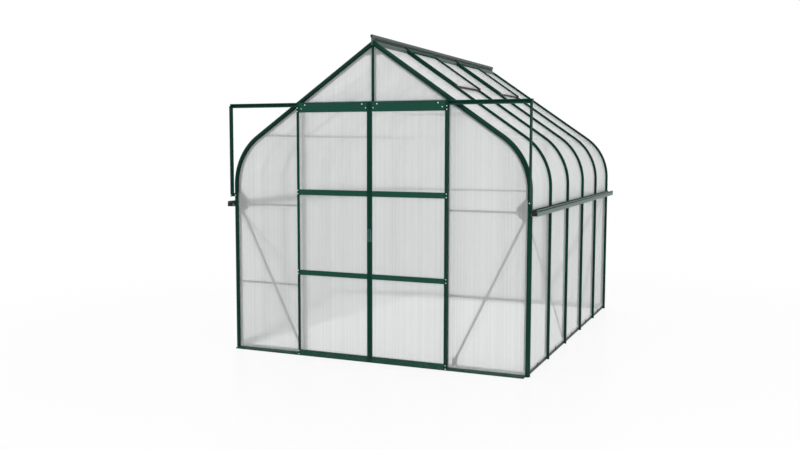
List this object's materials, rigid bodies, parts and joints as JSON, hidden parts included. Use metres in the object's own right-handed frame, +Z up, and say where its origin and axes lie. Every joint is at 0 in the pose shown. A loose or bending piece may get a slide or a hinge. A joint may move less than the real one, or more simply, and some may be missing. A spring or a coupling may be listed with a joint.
{
  "type": "garden greenhouse",
  "caption": "Free-standing greenhouse with rounded eaves, green aluminium frame, twin-wall panes, sliding double doors on a front track, gutters and roof vents.",
  "frame": {"origin": "centre of the four ground anchor holes, at ground level", "axes": "+X to the right seen from the doors, +Y from the doors to the rear gable, +Z up"},
  "size_m": [2.652, 3.186, 2.5574],
  "materials": {
    "green_aluminium": "powder coated, satin",
    "bracing_strip": "mill finish",
    "twin_wall_sheet": "clear twin-wall sheet",
    "roller_plastic": "moulded",
    "zinc_fixings": "plated",
    "handle_plastic": "moulded",
    "dark_clip": "moulded"
  },
  "bodies": {
    "frame": {"door_header": "green_aluminium", "door_track": "green_aluminium", "frame_bolts": "zinc_fixings", "front_gable_bars": "green_aluminium", "front_gable_panes": "twin_wall_sheet", "front_left_bow": "green_aluminium", "front_left_post": "green_aluminium", "front_right_bow": "green_aluminium", "front_right_post": "green_aluminium", "front_sill": "green_aluminium", "gable_braces": "bracing_strip", "gable_gussets": "bracing_strip", "gable_ties": "bracing_strip", "left_eaves_gutter": "green_aluminium", "left_eaves_panes": "twin_wall_sheet", "left_roof_bars": "green_aluminium", "left_roof_panes": "twin_wall_sheet", "left_side_bars": "green_aluminium", "left_side_panes": "twin_wall_sheet", "left_sill": "green_aluminium", "pane_clips": "dark_clip", "rear_gable_bars": "green_aluminium", "rear_gable_panes": "twin_wall_sheet", "rear_left_bow": "green_aluminium", "rear_left_post": "green_aluminium", "rear_right_bow": "green_aluminium", "rear_right_post": "green_aluminium", "rear_sill": "green_aluminium", "ridge_bar": "green_aluminium", "right_eaves_gutter": "green_aluminium", "right_eaves_panes": "twin_wall_sheet", "right_roof_bars": "green_aluminium", "right_roof_panes": "twin_wall_sheet", "right_side_bars": "green_aluminium", "right_side_panes": "twin_wall_sheet", "right_sill": "green_aluminium", "roof_purlins": "bracing_strip", "side_braces": "bracing_strip", "track_struts": "green_aluminium", "vent_cills": "bracing_strip"},
    "left_door": {"left_door_stiles": "green_aluminium", "left_door_rails": "green_aluminium", "left_door_panes": "twin_wall_sheet", "left_door_handle": "handle_plastic", "left_door_fixings": "zinc_fixings"},
    "left_outer_roller": {"left_outer_roller": "roller_plastic"},
    "left_inner_roller": {"left_inner_roller": "roller_plastic"},
    "right_door": {"right_door_stiles": "green_aluminium", "right_door_rails": "green_aluminium", "right_door_panes": "twin_wall_sheet", "right_door_handle": "handle_plastic", "right_door_fixings": "zinc_fixings"},
    "right_outer_roller": {"right_outer_roller": "roller_plastic"},
    "right_inner_roller": {"right_inner_roller": "roller_plastic"},
    "front_vent": {"front_vent_frame": "green_aluminium", "front_vent_pane": "twin_wall_sheet"},
    "front_stay": {"front_vent_stay": "green_aluminium"},
    "rear_vent": {"rear_vent_frame": "green_aluminium", "rear_vent_pane": "twin_wall_sheet"},
    "rear_stay": {"rear_vent_stay": "green_aluminium"}
  },
  "joints": [
    {"name": "left_door_slide", "type": "slide", "parent": "frame", "child": "left_door", "axis": [-1, 0, 0], "range_m": [0, 0.6]},
    {"name": "left_outer_roller_spin", "type": "hinge", "parent": "left_door", "child": "left_outer_roller", "pos_m": [-0.564, -1.56925, 2.02581], "axis": [0, -1, 0], "continuous": true},
    {"name": "left_inner_roller_spin", "type": "hinge", "parent": "left_door", "child": "left_inner_roller", "pos_m": [-0.064, -1.56925, 2.02581], "axis": [0, -1, 0], "continuous": true},
    {"name": "right_door_slide", "type": "slide", "parent": "frame", "child": "right_door", "axis": [1, 0, 0], "range_m": [0, 0.6]},
    {"name": "right_outer_roller_spin", "type": "hinge", "parent": "right_door", "child": "right_outer_roller", "pos_m": [0.564, -1.56925, 2.02581], "axis": [0, 1, 0], "continuous": true},
    {"name": "right_inner_roller_spin", "type": "hinge", "parent": "right_door", "child": "right_inner_roller", "pos_m": [0.064, -1.56925, 2.02581], "axis": [0, 1, 0], "continuous": true},
    {"name": "front_vent_hinge", "type": "hinge", "parent": "frame", "child": "front_vent", "pos_m": [0.012, -0.62, 2.52208], "axis": [0, -1, 0], "range_deg": [0, 40]},
    {"name": "front_stay_swing", "type": "hinge", "parent": "front_vent", "child": "front_stay", "pos_m": [0.43297, -0.62, 2.21869], "axis": [0.5678, 0, 0.8231], "range_deg": [0, 90]},
    {"name": "rear_vent_hinge", "type": "hinge", "parent": "frame", "child": "rear_vent", "pos_m": [0.012, 0.62, 2.52208], "axis": [0, -1, 0], "range_deg": [0, 40]},
    {"name": "rear_stay_swing", "type": "hinge", "parent": "rear_vent", "child": "rear_stay", "pos_m": [0.43297, 0.62, 2.21869], "axis": [0.5678, 0, 0.8231], "range_deg": [0, 90]}
  ],
  "couplings": [
    {"joint": "left_outer_roller_spin", "follows": "left_door_slide", "rad_per_m": 90.909},
    {"joint": "left_inner_roller_spin", "follows": "left_door_slide", "rad_per_m": 90.909},
    {"joint": "right_outer_roller_spin", "follows": "right_door_slide", "rad_per_m": 90.909},
    {"joint": "right_inner_roller_spin", "follows": "right_door_slide", "rad_per_m": 90.909}
  ]
}
